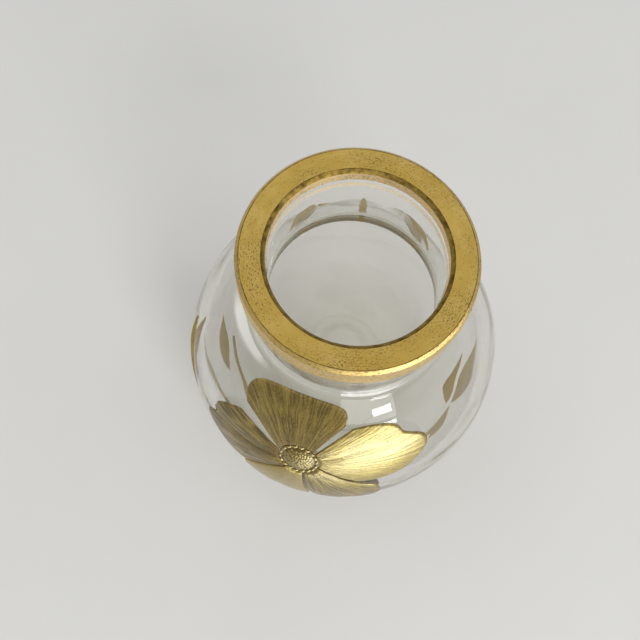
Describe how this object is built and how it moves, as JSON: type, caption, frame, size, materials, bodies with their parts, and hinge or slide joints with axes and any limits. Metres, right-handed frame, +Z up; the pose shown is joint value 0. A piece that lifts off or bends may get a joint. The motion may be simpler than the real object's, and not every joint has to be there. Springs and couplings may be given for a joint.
{
  "type": "glass flower vase",
  "caption": "Round-bodied clear glass vase with a short wide neck, a flat gilt collar rim and a raised gilt flower spray on the body; holds cut flowers.",
  "frame": {"origin": "centre of the foot, on the surface that the vase stands on", "axes": "+Z up along the vase's axis, -Y towards the flower's side, +X to the right seen from the flower's side"},
  "size_m": [0.0946, 0.095, 0.1152],
  "materials": {
    "clear_glass": "clear polished blown glass",
    "rim_gold": "burnished gilding, pitted and worn",
    "flower_gold": "raised gilding with fine brushed veins",
    "leaf_gold": "thin matt gilding"
  },
  "bodies": {
    "root": {"glass_body": "clear_glass", "rim_gilding": "rim_gold", "petal_upper": "flower_gold", "petal_right": "flower_gold", "petal_lower_right": "flower_gold", "petal_lower_left": "flower_gold", "petal_left": "flower_gold", "flower_centre": "flower_gold", "stamen_ring": "flower_gold", "flower_stalk": "leaf_gold", "stem_right": "leaf_gold", "leaf_right_outer": "leaf_gold", "leaf_right_inner": "leaf_gold", "leaf_right_lower": "leaf_gold", "stem_left": "leaf_gold", "stem_left_upper": "leaf_gold", "leaf_left_outer": "leaf_gold", "leaf_left_inner": "leaf_gold", "back_stem": "leaf_gold", "back_stem_left": "leaf_gold", "back_stem_right": "leaf_gold", "back_leaf_left": "leaf_gold", "back_leaf_right": "leaf_gold", "back_bud": "leaf_gold"}
  },
  "joints": []
}
